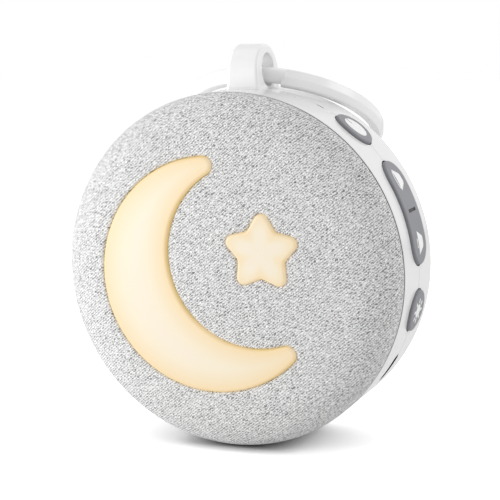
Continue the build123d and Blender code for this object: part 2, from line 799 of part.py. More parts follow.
yoke_back = basket_back - yoke_depth
with BuildPart() as speaker_yoke:
    speaker_turned((0, yoke_back), (yoke_radius, yoke_back), (yoke_radius, basket_back), (0, basket_back))
    chamfer(speaker_yoke.edges().group_by(Axis.Y)[-1], length=basket_wall / 2)
    speaker_turned(
        (0, yoke_back + yoke_floor),
        (yoke_bore, yoke_back + yoke_floor),
        (yoke_bore, basket_back),
        (0, basket_back),
        mode=Mode.SUBTRACT,
    )
finish_part(speaker_yoke, "speaker_yoke")

with BuildPart() as speaker_magnet:
    round_posts(
        [speaker_centre], magnet_radius, yoke_back + yoke_floor, yoke_back + yoke_floor + magnet_height
    )
finish_part(speaker_magnet, "speaker_magnet")

cone_front = plate_front - roll_gap
cone_back = cone_front - cone_depth
with BuildPart() as voice_coil:
    round_posts([speaker_centre], coil_radius, cone_back - coil_length, cone_back)
    round_posts([speaker_centre], coil_radius - coil_wall, cone_back - coil_length, cone_back, Mode.SUBTRACT)
finish_part(voice_coil, "voice_coil")

with BuildPart() as speaker_cone:
    speaker_turned(
        (coil_radius - coil_wall, cone_back),
        (coil_radius, cone_back),
        (cone_radius, cone_front - cone_paper),
        (cone_radius, cone_front),
        (cone_radius - cone_paper, cone_front),
        (coil_radius - coil_wall, cone_back + cone_paper),
    )
finish_part(speaker_cone, "speaker_cone")

dust_radius = coil_radius - coil_wall
dust_ball = (dust_radius**2 + dust_cap_rise**2) / (2 * dust_cap_rise)
dust_half_rise = sqrt(dust_ball**2 - (dust_radius / 2) ** 2) - dust_ball + dust_cap_rise
with BuildPart() as dust_cap:
    with BuildSketch(speaker_section):
        with BuildLine():
            outer_bow = ThreePointArc(
                (0, cone_back + cone_paper + dust_cap_rise),
                (dust_radius / 2, cone_back + cone_paper + dust_half_rise),
                (dust_radius, cone_back + cone_paper),
            )
            inner_bow = ThreePointArc(
                (0, cone_back + dust_cap_rise),
                (dust_radius / 2, cone_back + dust_half_rise),
                (dust_radius, cone_back),
            )
            Line(outer_bow @ 0, inner_bow @ 0)
            Line(outer_bow @ 1, inner_bow @ 1)
        make_face()
    revolve(axis=speaker_axis)
finish_part(dust_cap, "dust_cap")

roll_inner = cone_radius + roll_gap
roll_outer = rim_of_basket
with BuildPart() as speaker_surround:
    with BuildSketch(speaker_section):
        with BuildLine():
            foot_ring = (roll_outer - basket_wall / 2, plate_front)
            top_arc = ThreePointArc(
                (roll_inner, plate_front),
                ((roll_inner + foot_ring[0]) / 2, plate_front + (foot_ring[0] - roll_inner) / 2),
                foot_ring,
            )
            Polyline(
                top_arc @ 1,
                (speaker_opening - roll_gap / 2, plate_front),
                (speaker_opening - roll_gap / 2, plate_front + roll_wall),
                (foot_ring[0] + roll_wall, plate_front + roll_wall),
            )
            outer_arc = ThreePointArc(
                (foot_ring[0] + roll_wall, plate_front + roll_wall),
                ((roll_inner + foot_ring[0]) / 2, plate_front + (foot_ring[0] - roll_inner) / 2 + roll_wall),
                (roll_inner - roll_gap / 2, plate_front + roll_wall / 2),
            )
            Line(outer_arc @ 1, top_arc @ 0)
        make_face()
    revolve(axis=speaker_axis)
finish_part(speaker_surround, "speaker_surround")

with BuildPart() as speaker_screws:
    round_posts(speaker_screw_points, small_head_radius, plate_back - small_head_height, plate_back)
    round_posts(speaker_screw_points, small_screw_radius, plate_back, plate_front + small_screw_bite)
finish_part(speaker_screws, "speaker_screws")

# ---- battery ----
with BuildPart() as battery:
    with BuildSketch(front_plane.offset(back_inside)):
        with Locations(battery_centre):
            RectangleRounded(battery_size[0], battery_size[1], battery_corner)
    extrude(amount=battery_size[2])
    fillet(battery.edges().group_by(Axis.Y)[0], battery_edge)
finish_part(battery, "battery")

# ---- hanging lug ----
eye_height = body_radius + eye_sill + eye_radius
lug_depth = 2 * (eye_back - lug_front)
lug_plane = Plane(origin=disc_centre, x_dir=(0, 1, 0), z_dir=(1, 0, 0))  # x to the back, y up
lug_top_radius = lug_depth / 2
arch_height = eye_height + eye_radius + lug_crown - lug_top_radius
with BuildPart() as hanging_lug:
    with BuildSketch(lug_plane.offset(-lug_base_width / 2)):
        with BuildLine():
            arch = ThreePointArc(
                (lug_front, arch_height),
                (eye_back, arch_height + lug_top_radius),
                (lug_front + lug_depth, arch_height),
            )
            Polyline(
                arch @ 1,
                (lug_front + lug_depth, body_radius - back_round),
                (lug_front, body_radius - back_round),
                arch @ 0,
            )
        make_face()
    extrude(amount=lug_base_width)
    with BuildSketch(front_plane.offset(-lug_depth)) as taper:
        with BuildLine():
            Polyline(
                (-lug_base_width / 2, body_radius - back_round),
                (-lug_width / 2, arch_height + lug_top_radius),
                (lug_width / 2, arch_height + lug_top_radius),
                (lug_base_width / 2, body_radius - back_round),
                close=True,
            )
        make_face()
    extrude(taper.sketch, amount=2 * lug_depth, mode=Mode.INTERSECT)
    side_edges = hanging_lug.faces().filter_by(lambda face: abs(face.normal_at().X) > side_facing).edges()
    fillet(side_edges.filter_by(lambda edge: edge.center().Z > disc_centre.Z + body_radius), lug_edge)
    revolve(body_sketch(), axis=disc_axis, mode=Mode.SUBTRACT)
    with BuildSketch(lug_plane.offset(-lug_width)) as eye:
        with Locations((eye_back, eye_height)):
            Circle(eye_radius)
    extrude(eye.sketch, amount=2 * lug_width, mode=Mode.SUBTRACT)
    eye_middle = disc_centre + Vector(0, eye_back, eye_height)
    eye_bore = hanging_lug.faces().sort_by_distance(eye_middle)[0]
    fillet(eye_bore.edges().filter_by(lambda edge: edge.is_closed), eye_edge)
    with BuildSketch(rim_plane(0, inner_radius - lug_foot[2])) as stem:
        with Locations((0, lug_foot_shift)):
            Rectangle(lug_stem[0], lug_stem[1])
    extrude(stem.sketch, amount=lug_foot[2] + 1.5 * wall)
    with BuildPart(mode=Mode.PRIVATE) as toe:
        with BuildSketch(rim_plane(0, inner_radius - 2 * lug_foot[2])) as toe_outline:
            with Locations((0, lug_foot_shift)):
                RectangleRounded(lug_foot[0], lug_foot[1], lug_foot_corner)
        extrude(toe_outline.sketch, amount=4 * lug_foot[2])
        turned_band(inner_radius - lug_foot[2], inner_radius, -body_radius, rim_front, Mode.INTERSECT)
    add(toe.part)
finish_part(hanging_lug, "hanging_lug")

# ---- carry ring ----
neck_centre = disc_centre + Vector(0, eye_back + neck_behind, eye_height - neck_drop)
ring_side = Vector(cos(radians(ring_lean_angle)), 0, -sin(radians(ring_lean_angle)))
ring_outline = (
    (-ring_half_top, ring_top),
    (ring_half_top, ring_top),
    (ring_outer_ridge, -ring_ridge_drop),
    (ring_half_bottom, -ring_bottom),
    (-ring_half_bottom, -ring_bottom),
    (-ring_inner_ridge, -ring_ridge_drop),
)


def ring_frame(tilt):
    """Centre, upward axis and backward direction of the ring when it tips back by tilt degrees."""
    level_back = Vector(0, cos(radians(tilt)), -sin(radians(tilt)))
    up = ring_side.cross(level_back).normalized()
    away = up.cross(ring_side)
    return neck_centre + away * ring_radius + ring_side * ring_shift, up, away


def gap_to_body(tilt):
    """Smallest distance from the ring's corners, all the way round, to the body's rounded shoulder."""
    centre, up, away = ring_frame(tilt)
    smallest = ring_radius
    for step in range(ring_steps):
        turn = radians(360.0 / ring_steps * step)
        outward = ring_side * cos(turn) + away * sin(turn)
        for reach, rise in ring_outline:
            place = centre + outward * (ring_radius + reach) + up * rise - disc_centre
            past_side = hypot(place.X, place.Z) - (body_radius - back_round)
            past_back = place.Y - rim_back
            gap = hypot(max(past_side, 0), max(past_back, 0)) + min(max(past_side, past_back), 0) - back_round
            smallest = min(smallest, gap)
    return smallest


def resting_tilt():
    """Tilt at which the ring lies on the shoulder, found by halving."""
    level, steep = tilt_search
    for _ in range(tilt_halvings):
        middle = (level + steep) / 2
        if gap_to_body(middle) > ring_rest_gap:
            level = middle
        else:
            steep = middle
    return level


ring_centre, ring_up, ring_away = ring_frame(resting_tilt())
ring_axis = Axis(ring_centre, ring_up)


def ring_section_plane(angle):
    """Plane through the ring's axis at an angle from its right-hand side: x outwards, y up the axis."""
    outward = ring_side * cos(radians(angle)) + ring_away * sin(radians(angle))
    return Plane(origin=ring_centre, x_dir=outward, z_dir=outward.cross(ring_up))


neck_middle = -90.0
with BuildPart() as carry_ring:
    with BuildSketch(ring_section_plane(neck_middle + neck_arc / 2)) as section:
        with BuildLine():
            Polyline(*[(ring_radius + reach, rise) for reach, rise in ring_outline], close=True)
        make_face()
        fillet(section.vertices(), ring_edge)
    revolve(section.sketch, axis=ring_axis, revolution_arc=360 - neck_arc)
    fillet(carry_ring.faces().filter_by(GeomType.PLANE).edges(), neck_blend)
    with BuildSketch(ring_section_plane(neck_middle - neck_arc / 2 - neck_lap_angle)) as neck:
        with Locations((ring_radius, 0)):
            Circle(neck_radius)
    revolve(neck.sketch, axis=ring_axis, revolution_arc=neck_arc + 2 * neck_lap_angle)
finish_part(carry_ring, "carry_ring")
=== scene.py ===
from math import atan2, cos, hypot, pi, radians, sin, tan

import bpy
import numpy as np
from mathutils import Matrix, Vector
from mathutils.geometry import delaunay_2d_cdt


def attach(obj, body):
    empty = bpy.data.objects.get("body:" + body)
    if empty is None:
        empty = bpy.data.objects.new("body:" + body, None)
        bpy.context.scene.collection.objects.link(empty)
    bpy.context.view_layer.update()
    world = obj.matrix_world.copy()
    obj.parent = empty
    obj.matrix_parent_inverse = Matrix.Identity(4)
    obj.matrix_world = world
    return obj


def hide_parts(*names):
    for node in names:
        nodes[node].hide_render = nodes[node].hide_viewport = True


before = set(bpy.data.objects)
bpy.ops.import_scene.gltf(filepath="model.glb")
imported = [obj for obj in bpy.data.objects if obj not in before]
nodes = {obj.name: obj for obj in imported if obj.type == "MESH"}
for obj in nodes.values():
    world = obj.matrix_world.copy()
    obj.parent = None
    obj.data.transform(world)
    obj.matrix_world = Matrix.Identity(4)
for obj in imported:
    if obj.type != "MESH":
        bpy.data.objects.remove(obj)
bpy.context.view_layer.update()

# White noise sound machine: finishes, cloth skin, printed signs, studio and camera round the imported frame.
# Lengths are in metres, and MM turns millimetres into them. -Y is the front, +X the side with the controls.

MM = 0.001

# ---- driving dimensions, repeated from the part ----
BODY_RADIUS = 50.0 * MM
FOOT_DROP = 0.6 * MM  # how far the foot pad lifts the rim
RIM_FRONT = 14.1 * MM  # seam to the cloth's edge
CAP_DEPTH = 9.0 * MM  # cloth's edge to the middle of the front
CROWN_RISE = 1.0 * MM  # how much of that is the gentle crown
EDGE_ROUND = 16.0 * MM  # width of the dome's rounded edge
KEY_PROUD = 0.9 * MM
AXIS_HEIGHT = FOOT_DROP + BODY_RADIUS
KEY_RADIUS = BODY_RADIUS + KEY_PROUD
MOON_CENTRE = np.array([-3.0, 0.0]) * MM
MOON_RADIUS = 33.0 * MM
BITE_CENTRE = np.array([10.0, 6.0]) * MM  # middle of the circle bitten out of the moon
BITE_RADIUS = 26.0 * MM
MOON_TIP_RADIUS = 2.6 * MM
STAR_CENTRE = np.array([12.0, 7.0]) * MM
STAR_REACH = 12.5 * MM
STAR_WAIST = 7.0 * MM
STAR_TIP_RADIUS = 2.0 * MM
STAR_POINTS = 5
# places round the rim, in degrees clockwise from the top
POWER_ANGLE = 39.0
ROCKER_ANGLE = 70.6
LIGHT_ANGLE = 103.0
SOCKET_ANGLE = 124.5
SOCKET_MOUTH = (9.18 * MM, 3.4 * MM)  # opening for it: along the rim, across it

# ---- camera, its angles in degrees ----
CAMERA_YAW = 21.61  # round to the right of the front
CAMERA_PITCH = 9.66  # up from level
CAMERA_ROLL = -1.15
CAMERA_DISTANCE = 450.0 * MM
CAMERA_LENS = 115.9  # on a 36 mm sensor
TARGET_RIGHT = 5.02 * MM  # point aimed at, from the middle of the cloth's edge
TARGET_UP = 5.73 * MM
VIEW_ORIGIN = Vector((0.0, -RIM_FRONT, AXIS_HEIGHT))


# ---- node helpers ----
class Graph:
    """The node tree of a material or a world, with short calls for the nodes used here."""

    def __init__(self, owner, output="ShaderNodeOutputMaterial"):
        self.owner = owner
        owner.use_nodes = True
        self.tree = owner.node_tree
        self.tree.nodes.clear()
        self.surface = self.tree.nodes.new(output).inputs["Surface"]

    def node(self, kind, settings=None, **inputs):
        """A node, its attributes set from settings and its sockets from inputs, with _ for a space."""
        made = self.tree.nodes.new(kind)
        for key, value in (settings or {}).items():
            setattr(made, key, value)
        for key, value in inputs.items():
            self.feed(made.inputs[key.replace("_", " ")], value)
        return made

    def feed(self, socket, value):
        """Links a socket, or sets it when the value is plain."""
        if isinstance(value, bpy.types.NodeSocket):
            self.tree.links.new(value, socket)
        else:
            socket.default_value = value

    def math(self, operation, first, second=0.0, clamp=False):
        """Output of one Math node."""
        made = self.node("ShaderNodeMath", {"operation": operation, "use_clamp": clamp})
        self.feed(made.inputs[0], first)
        self.feed(made.inputs[1], second)
        return made.outputs[0]

    def plus(self, first, second):
        """Sum."""
        return self.math("ADD", first, second)

    def minus(self, first, second):
        """Difference."""
        return self.math("SUBTRACT", first, second)

    def times(self, first, second):
        """Product."""
        return self.math("MULTIPLY", first, second)

    def length(self, right, up):
        """Length of a step to the right and up."""
        return self.math("SQRT", self.plus(self.times(right, right), self.times(up, up)))

    def mix(self, factor, first, second, blend="MIX"):
        """Output of one colour Mix node, whose colours are its sockets 6 and 7."""
        made = self.node("ShaderNodeMix", {"data_type": "RGBA", "blend_type": blend}, Factor=factor)
        self.feed(made.inputs[6], first)
        self.feed(made.inputs[7], second)
        return made.outputs[2]

    def ramp(self, factor, stops):
        """Colour ramp through (place, colour) stops."""
        made = self.node("ShaderNodeValToRGB", Fac=factor)
        elements = made.color_ramp.elements
        while len(elements) < len(stops):
            elements.new(0.5)
        for element, (place, colour) in zip(elements, stops):
            element.position = place
            element.color = (*colour[:3], 1.0)
        return made.outputs["Color"]

    def remap(self, value, low, high, to_low, to_high):
        """Remaps low..high to another range, and stays inside it."""
        ends = {"From_Min": low, "From_Max": high, "To_Min": to_low, "To_Max": to_high}
        return self.node("ShaderNodeMapRange", Value=value, **ends).outputs[0]

    def spread(self, value, low, high):
        """Remaps a 0..1 value to low..high."""
        return self.remap(value, 0.0, 1.0, low, high)

    def place(self):
        """Coordinates of the whole part, which are those of each node's object."""
        return self.node("ShaderNodeTexCoord").outputs["Object"]

    def axes(self, vector):
        """The three coordinates of a vector."""
        return self.node("ShaderNodeSeparateXYZ", Vector=vector).outputs

    def neutral(self, level):
        """A neutral colour whose level varies."""
        return self.node("ShaderNodeCombineXYZ", X=level, Y=level, Z=level).outputs[0]

    def noise(self, scale, detail=2.0, roughness=0.5, vector=None):
        """Noise with scale in cells per metre, in the part's coordinates unless a vector is given."""
        if vector is None:
            vector = self.place()
        made = self.node("ShaderNodeTexNoise", Vector=vector, Scale=scale)
        made.inputs["Detail"].default_value = detail
        made.inputs["Roughness"].default_value = roughness
        return made.outputs["Fac"]

    def bump(self, height, distance, strength):
        """Bump from a height; distance is in metres."""
        made = self.node("ShaderNodeBump", Height=height, Distance=distance, Strength=strength)
        return made.outputs["Normal"]

    def shader(self, **inputs):
        """A Principled shader on the surface."""
        made = self.node("ShaderNodeBsdfPrincipled", **inputs)
        self.tree.links.new(made.outputs["BSDF"], self.surface)


def material_graph(name):
    """The node tree of a new material."""
    return Graph(bpy.data.materials.new(name))


def grey(level):
    """A neutral colour."""
    return (level, level, level, 1.0)


# ---- finishes of the CAD nodes; the scales of noise are in cells per metre ----
PLASTIC_CLOUD = 35.0
PLASTIC_GLOSS_CLOUD = 160.0
PLASTIC_GRAIN = 2600.0
METAL_STAIN = 70.0
METAL_BRUSHING = 900.0
RUBBER_DUST = 220.0
RUBBER_GLOSS_CLOUD = 90.0
RUBBER_GRAIN = 3200.0
COAT_ROUGHNESS = 0.08
SOCKET_CLOUD = 300.0
SOCKET_GLOSS_CLOUD = 500.0
SOCKET_PAINTED_SHADE = 0.01  # painted shade: colour left to white plastic in the socket's mouth, where the port's walls are in deep shade
SOCKET_EDGE = 0.3 * MM  # how far the painted shade passes the socket's mouth


def moulded(name, dark, light, roughness, grain=0.02, coat=0.0, cast=(1.0, 1.0, 1.0), painted_shade_mask=None):
    """Moulded plastic: cloudy tint, uneven gloss and the fine grain left by the tool's surface, with painted
    shade where a mask is given.
    """
    graph = material_graph(name)
    tints = [(*[level * share for share in cast], 1.0) for level in (dark, light)]
    colour = graph.mix(graph.noise(PLASTIC_CLOUD, 3.0), *tints)
    if painted_shade_mask:
        # painted shade: the white plastic goes near black in the socket's mouth
        colour = graph.mix(painted_shade_mask(graph), colour, grey(SOCKET_PAINTED_SHADE))
    gloss_cloud = graph.noise(PLASTIC_GLOSS_CLOUD, 4.0, 0.6)
    graph.shader(
        Base_Color=colour,
        Roughness=graph.spread(gloss_cloud, roughness * 0.8, roughness * 1.25),
        Normal=graph.bump(graph.noise(PLASTIC_GRAIN), grain * MM, 0.35),
        Coat_Weight=coat,
        Coat_Roughness=COAT_ROUGHNESS,
    )
    return graph.owner


def metal(name, colour, roughness):
    """Plain metal with fine brushing and slight staining."""
    graph = material_graph(name)
    stretched = graph.node("ShaderNodeMapping", Vector=graph.place(), Scale=(1.0, 12.0, 1.0)).outputs[0]
    streak = graph.noise(METAL_BRUSHING, 3.0, 0.6, stretched)
    stained = (*[level * 0.85 for level in colour], 1.0)
    graph.shader(
        Base_Color=graph.mix(graph.noise(METAL_STAIN, 3.0), stained, (*colour, 1.0)),
        Roughness=graph.spread(streak, roughness * 0.7, roughness * 1.4),
        Normal=graph.bump(streak, 0.01 * MM, 0.4),
        Metallic=1.0,
    )
    return graph.owner


def rubbery(name, level, roughness=0.6):
    """Soft silicone or rubber with dusty tint and fine grain."""
    graph = material_graph(name)
    dust = graph.noise(RUBBER_DUST, 5.0, 0.65)
    gloss_cloud = graph.noise(RUBBER_GLOSS_CLOUD)
    graph.shader(
        Base_Color=graph.mix(dust, grey(level * 0.88), grey(level * 1.1)),
        Roughness=graph.spread(gloss_cloud, roughness * 0.85, min(1.0, roughness * 1.2)),
        Normal=graph.bump(graph.noise(RUBBER_GRAIN), 0.02 * MM, 0.4),
    )
    return graph.owner


def socket_shade_mask(graph):
    """Where shade is painted: 1 inside the socket's mouth and on its very edge, 0 elsewhere."""
    right, across, height = graph.axes(graph.place())
    up = graph.minus(height, AXIS_HEIGHT)
    turn_sin, turn_cos = sin(radians(SOCKET_ANGLE)), cos(radians(SOCKET_ANGLE))
    along = graph.minus(graph.times(right, turn_cos), graph.times(up, turn_sin))
    outward = graph.plus(graph.times(right, turn_sin), graph.times(up, turn_cos))
    mouth_length, mouth_width = SOCKET_MOUTH
    straight_half = (mouth_length - mouth_width) / 2
    past = graph.math("MAXIMUM", graph.minus(graph.math("ABSOLUTE", along), straight_half), 0.0)
    in_mouth = graph.math("LESS_THAN", graph.length(past, across), mouth_width / 2 + SOCKET_EDGE)
    return graph.times(in_mouth, graph.math("GREATER_THAN", outward, 0.0))


def socket_dark_and_painted_shade():
    """Near-black, dull metal and plastic of the socket: partly their own dark finish, partly painted shade
    for the port's deep inside.
    """
    graph = material_graph("socket_dark_and_painted_shade")
    graph.shader(
        Base_Color=graph.mix(graph.noise(SOCKET_CLOUD, 3.0), grey(0.006), grey(0.014)),
        Roughness=graph.spread(graph.noise(SOCKET_GLOSS_CLOUD), 0.75, 0.95),
        Specular_IOR_Level=0.12,
    )
    return graph.owner


# ---- cloth ----
THREAD = 0.235 * MM  # thread pitch
FLOAT_LENGTH = 2.0  # crossings that a thread passes over before it dives
TWILL_TURN = 6.0  # degrees from the cloth's threads to the upright
WANDER = (5.0, -3.0)  # threads by which the weave strays, across and along
WANDER_SCALE = 1500.0
WARP = ((0.0, grey(0.76)), (0.4, grey(0.93)), (1.0, grey(1.0)))
WEFT = ((0.0, grey(0.14)), (0.5, grey(0.42)), (1.0, grey(0.76)))
GROOVE_SHADE = 0.88  # painted shade: share of its colour left to a thread at its sides, where it dips between its neighbours
HEATHER = (0.58, 1.36)  # range of the mottling
HEATHER_SCALE = 1700.0
THREAD_RELIEF = 0.04 * MM
SHEEN = 0.35
HEM_PAINTED_SHADE = 0.08  # painted shade: share of its colour left to the cloth where it turns in behind its edge, in the shade of the groove by the rim
HEM_FADE = (0.5 * MM, 0.15 * MM)  # run before the edge over which the painted shade darkens it


def cloth_material(edge_run):
    """Heather twill: pale threads across darker ones, two over and two under, shaded float by float."""
    graph = material_graph("cloth_twill")
    uv = graph.node("ShaderNodeUVMap", {"uv_map": "weave"}).outputs["UV"]
    turn = (0.0, 0.0, radians(TWILL_TURN))
    threads = graph.node("ShaderNodeMapping", Vector=uv, Rotation=turn, Scale=(1 / THREAD,) * 3)
    straight = graph.axes(threads.outputs[0])
    wander = graph.noise(WANDER_SCALE, 2.0, 0.5, uv)
    across, along = [graph.plus(straight[i], graph.times(wander, WANDER[i])) for i in range(2)]
    column, row = graph.math("FLOOR", across), graph.math("FLOOR", along)
    step = graph.math("FLOORED_MODULO", graph.minus(column, row), 2 * FLOAT_LENGTH)
    warp_over = graph.math("LESS_THAN", step, FLOAT_LENGTH)

    def roundness(position):
        """Height of a thread across its width, between 0 and 1."""
        return graph.math("SINE", graph.times(graph.math("FRACT", position), pi))

    def shade_of(thread, crossing, seed):
        """Shade of one float of one thread, between 0 and 1."""
        place = graph.math("FLOOR", graph.math("DIVIDE", graph.minus(crossing, thread), FLOAT_LENGTH))
        cell = graph.node("ShaderNodeCombineXYZ", X=thread, Y=place, Z=seed).outputs[0]
        chance = graph.node("ShaderNodeTexWhiteNoise", {"noise_dimensions": "3D"}, Vector=cell)
        return chance.outputs["Value"]

    floats = {"A": roundness(along), "B": roundness(across)}
    height = graph.node("ShaderNodeMix", {"data_type": "FLOAT"}, Factor=warp_over, **floats).outputs[0]
    warp = graph.ramp(shade_of(column, row, 2.0), WARP)
    weft = graph.ramp(shade_of(row, column, 9.0), WEFT)
    distance = graph.node("ShaderNodeVectorMath", {"operation": "LENGTH"}, Vector=uv).outputs["Value"]
    # painted shade: the cloth darkens towards its turned-in hem, where the groove by the rim is in shade;
    # the sheen fades with it
    hem_painted_shade = graph.remap(distance, edge_run - HEM_FADE[0], edge_run - HEM_FADE[1], 1.0, HEM_PAINTED_SHADE)
    heather = graph.spread(graph.noise(HEATHER_SCALE, 2.0, 0.6, uv), *HEATHER)
    # random mottling of the cloth, with painted shade at the threads' sides and at the hem
    mottling_and_painted_shade = graph.times(graph.times(graph.spread(height, GROOVE_SHADE, 1.0), heather), hem_painted_shade)
    graph.shader(
        Base_Color=graph.mix(1.0, graph.mix(warp_over, weft, warp), graph.neutral(mottling_and_painted_shade), "MULTIPLY"),
        Normal=graph.bump(height, THREAD_RELIEF, 0.4),
        Roughness=0.9,
        Sheen_Weight=graph.times(hem_painted_shade, SHEEN),
        Sheen_Roughness=0.5,
    )
    return graph.owner


# ---- glowing windows ----
GLOW = (
    (0.0, (0.84, 0.62, 0.26)),
    (0.02, (0.93, 0.70, 0.38)),
    (0.1, (0.95, 0.755, 0.475)),
    (0.35, (0.95, 0.80, 0.56)),
    (0.7, (0.95, 0.845, 0.655)),
    (1.0, (0.95, 0.85, 0.685)),
)
MOON_FADE = 9.0 * MM  # distance inward from the outline to the palest glow
STAR_FADE = 6.0 * MM
GLOW_CLOUD = 60.0
DIFFUSER_GRAIN = 1800.0
DIFFUSER = 0.45  # how much of the light that falls on a window it gives back
LAMPLIGHT = 0.5  # strength of the light through it


def flat_place(graph, centre):
    """Offsets from a window's middle across the front, as (right, up, distance)."""
    axes = graph.axes(graph.place())
    right = graph.minus(axes["X"], float(centre[0]))
    up = graph.minus(axes["Z"], float(centre[1]) + AXIS_HEIGHT)
    return right, up, graph.length(right, up)


def window_material(name, depth_of, fade):
    """Milky diffuser lit from behind: deep amber at its outline, paler over the lamps."""
    graph = material_graph(name)
    inward = graph.math("DIVIDE", depth_of(graph), fade, True)
    cloud = graph.spread(graph.noise(GLOW_CLOUD), -0.05, 0.05)
    glow = graph.ramp(graph.math("ADD", inward, cloud, True), GLOW)
    graph.shader(
        Base_Color=graph.mix(1.0, glow, grey(DIFFUSER), "MULTIPLY"),
        Emission_Color=glow,
        Emission_Strength=LAMPLIGHT,
        Roughness=0.42,
        Normal=graph.bump(graph.noise(DIFFUSER_GRAIN), 0.01 * MM, 0.3),
    )
    return graph.owner


def moon_depth(graph):
    """Distance inward from the crescent's outline."""
    outer = graph.minus(MOON_RADIUS, flat_place(graph, MOON_CENTRE)[2])
    inner = graph.minus(flat_place(graph, BITE_CENTRE)[2], BITE_RADIUS)
    return graph.math("MINIMUM", outer, inner)


def star_depth(graph):
    """Distance inward from the star's outline, by its lobes round the middle."""
    right, up, distance = flat_place(graph, STAR_CENTRE)
    angle = graph.math("ARCTAN2", right, up)
    lobe = graph.math("COSINE", graph.times(angle, float(STAR_POINTS)))
    return graph.minus(graph.remap(lobe, -1.0, 1.0, STAR_WAIST * 1.05, STAR_REACH * 0.9), distance)


# ---- outlines, as seen from the front: x to the right, then up from the axis ----
MOON_OUTER_STEPS = 150
MOON_BITE_STEPS = 110
MOON_TIP_STEPS = 14
STAR_TIP_POINTS = 7


def arc(centre, radius, start, end, count):
    """Points along an arc, its end left out."""
    return [
        np.array([centre[0] + radius * cos(a), centre[1] + radius * sin(a)])
        for a in np.linspace(start, end, count, endpoint=False)
    ]


def moon_outline():
    """The crescent, anticlockwise, its tips rounded."""
    between = BITE_CENTRE - MOON_CENTRE
    gap = hypot(*between)
    axis = atan2(between[1], between[0])
    to_outer = MOON_RADIUS - MOON_TIP_RADIUS
    to_bite = BITE_RADIUS + MOON_TIP_RADIUS
    along = (to_outer**2 - to_bite**2 + gap**2) / (2 * gap)
    aside = (to_outer**2 - along**2) ** 0.5
    from_moon = atan2(aside, along)
    from_bite = atan2(aside, along - gap)
    upper = MOON_CENTRE + to_outer * np.array([cos(axis + from_moon), sin(axis + from_moon)])
    lower = MOON_CENTRE + to_outer * np.array([cos(axis - from_moon), sin(axis - from_moon)])
    return (
        arc(MOON_CENTRE, MOON_RADIUS, axis + from_moon, axis + 2 * pi - from_moon, MOON_OUTER_STEPS)
        + arc(lower, MOON_TIP_RADIUS, axis - from_moon, axis - from_bite + pi, MOON_TIP_STEPS)
        + arc(BITE_CENTRE, BITE_RADIUS, axis + 2 * pi - from_bite, axis + from_bite, MOON_BITE_STEPS)
        + arc(upper, MOON_TIP_RADIUS, axis + from_bite - pi, axis + from_moon, MOON_TIP_STEPS)
    )


def star_outline():
    """The star, anticlockwise, its tips and waists rounded."""
    corners = []
    for step in range(2 * STAR_POINTS):
        reach = STAR_REACH if step % 2 == 0 else STAR_WAIST
        turn = pi / 2 + step * pi / STAR_POINTS
        corners.append(STAR_CENTRE + reach * np.array([cos(turn), sin(turn)]))
    points = []
    for here, corner in enumerate(corners):
        back = corners[here - 1] - corner
        ahead = corners[(here + 1) % len(corners)] - corner
        back_way, ahead_way = back / hypot(*back), ahead / hypot(*ahead)
        half = np.arccos(np.clip(back_way @ ahead_way, -1, 1)) / 2
        middle = (back_way + ahead_way) / hypot(*(back_way + ahead_way))
        centre = corner + middle * STAR_TIP_RADIUS / sin(half)
        first = corner + back_way * STAR_TIP_RADIUS / tan(half) - centre
        last = corner + ahead_way * STAR_TIP_RADIUS / tan(half) - centre
        start = atan2(first[1], first[0])
        sweep = (atan2(last[1], last[0]) - start + pi) % (2 * pi) - pi
        points += [
            centre + STAR_TIP_RADIUS * np.array([cos(start + sweep * t), sin(start + sweep * t)])
            for t in np.linspace(0, 1, STAR_TIP_POINTS)
        ]
    return points


def grown(outline, amount):
    """An anticlockwise outline moved outwards along its normals."""
    count = len(outline)
    points = []
    for here in range(count):
        along = outline[(here + 1) % count] - outline[here - 1]
        outward = np.array([along[1], -along[0]]) / hypot(*along)
        points.append(outline[here] + outward * amount)
    return points


def nearest(points, outline):
    """Distance from each point to an outline's segments."""
    start = np.array(outline)
    way = np.roll(start, -1, axis=0) - start
    offset = points[:, None, :] - start[None]
    share = np.clip((offset * way).sum(2) / (way * way).sum(1), 0, 1)
    return np.linalg.norm(offset - share[..., None] * way, axis=2).min(1)


def inside(points, outline):
    """Even-odd test of points against an outline."""
    corner = np.array(outline)
    other = np.roll(corner, -1, axis=0)
    x, y = points[:, :1], points[:, 1:]
    crosses = (corner[:, 1] > y) != (other[:, 1] > y)
    rise = np.where(other[:, 1] == corner[:, 1], 1e-12, other[:, 1] - corner[:, 1])
    at = corner[:, 0] + (y - corner[:, 1]) * (other[:, 0] - corner[:, 0]) / rise
    return ((crosses & (x < at)).sum(1) % 2) == 1


# ---- meshes ----
CLEAR_OF_EDGE = 0.4  # share of a step that free points keep from the edges given


def ring_edges(first, count):
    """Edges that close a ring of points, numbered from its first."""
    return [(first + i, first + (i + 1) % count) for i in range(count)]


def filled(points, edges):
    """Triangles between points, with the edges given kept, as (places, faces)."""
    result = delaunay_2d_cdt([Vector(p / MM) for p in points], edges, [], 0, 1e-6)
    return np.array([tuple(v) for v in result[0]]) * MM, list(result[2])


def face_middles(places, faces):
    """Middle of each face."""
    return np.array([places[list(face)].mean(0) for face in faces])


def mesh_object(name, vertices, faces, material):
    """A smooth mesh object in the scene."""
    mesh = bpy.data.meshes.new(name)
    mesh.from_pydata([tuple(v) for v in vertices], [], [tuple(f) for f in faces])
    mesh.update()
    made = bpy.data.objects.new(name, mesh)
    bpy.context.scene.collection.objects.link(made)
    mesh.materials.append(material)
    mesh.shade_smooth()
    return made


def thicken(piece, name, thickness):
    """Gives a sheet its thickness, inwards from its face."""
    solid = piece.modifiers.new(name, "SOLIDIFY")
    solid.thickness = thickness
    solid.offset = -1.0


